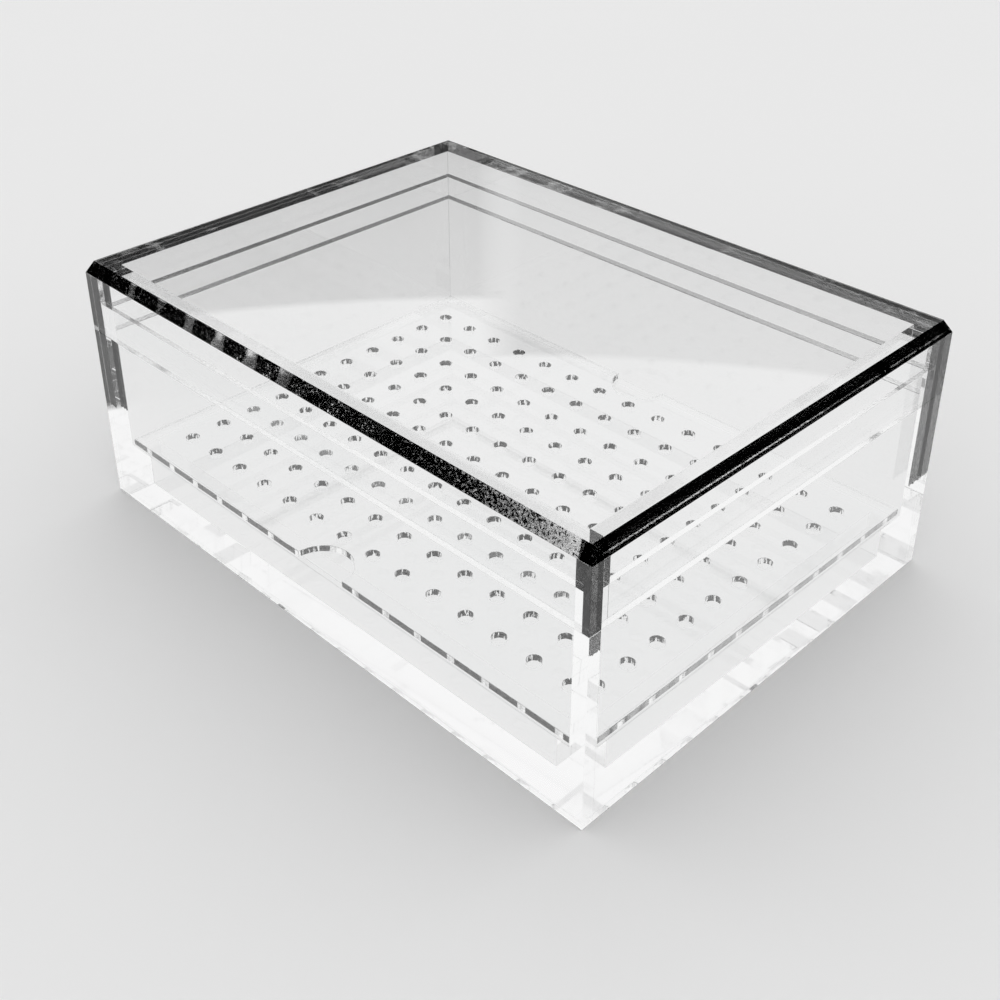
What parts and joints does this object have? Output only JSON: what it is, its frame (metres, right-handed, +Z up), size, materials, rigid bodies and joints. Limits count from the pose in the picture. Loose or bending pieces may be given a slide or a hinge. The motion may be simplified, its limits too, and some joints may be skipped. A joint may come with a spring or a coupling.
{
  "type": "acrylic humidor box",
  "caption": "Clear acrylic humidor box with a bevelled lift-off lid, lined walls and a removable perforated tray with finger notches.",
  "frame": {"origin": "on the table under the middle of the box", "axes": "+X along the long side, +Y to the back, +Z up out of the box"},
  "size_m": [0.32, 0.235, 0.129],
  "materials": {
    "wall_acrylic": "polished clear cast acrylic, bonded edges",
    "floor_acrylic": "polished clear cast acrylic, thick floor sheet",
    "liner_acrylic": "polished clear cast acrylic, bonded inner sheets",
    "rail_acrylic": "clear acrylic strip with sawn, lightly polished top",
    "tray_acrylic": "clear acrylic sheet, laser-cut holes and edges",
    "lid_acrylic": "polished clear cast acrylic, chamfered top edge"
  },
  "bodies": {
    "box": {"base_floor": "floor_acrylic", "base_wall_front": "wall_acrylic", "base_wall_back": "wall_acrylic", "base_wall_left": "wall_acrylic", "base_wall_right": "wall_acrylic", "base_liner_front": "liner_acrylic", "base_liner_back": "liner_acrylic", "base_liner_left": "liner_acrylic", "base_liner_right": "liner_acrylic", "tray_rail_front": "rail_acrylic", "tray_rail_back": "rail_acrylic", "tray_rail_left": "rail_acrylic", "tray_rail_right": "rail_acrylic"},
    "tray": {"tray_plate": "tray_acrylic"},
    "lid": {"lid_top": "lid_acrylic", "lid_wall_front": "lid_acrylic", "lid_wall_back": "lid_acrylic", "lid_wall_left": "lid_acrylic", "lid_wall_right": "lid_acrylic", "lid_liner_front": "liner_acrylic", "lid_liner_back": "liner_acrylic", "lid_liner_left": "liner_acrylic", "lid_liner_right": "liner_acrylic"}
  },
  "joints": [
    {"name": "lid_lift", "type": "slide", "parent": "box", "child": "lid", "axis": [0, 0, 1], "range_m": [0, 0.12]},
    {"name": "tray_lift", "type": "slide", "parent": "box", "child": "tray", "axis": [0, 0, 1], "range_m": [0, 0.08]}
  ]
}
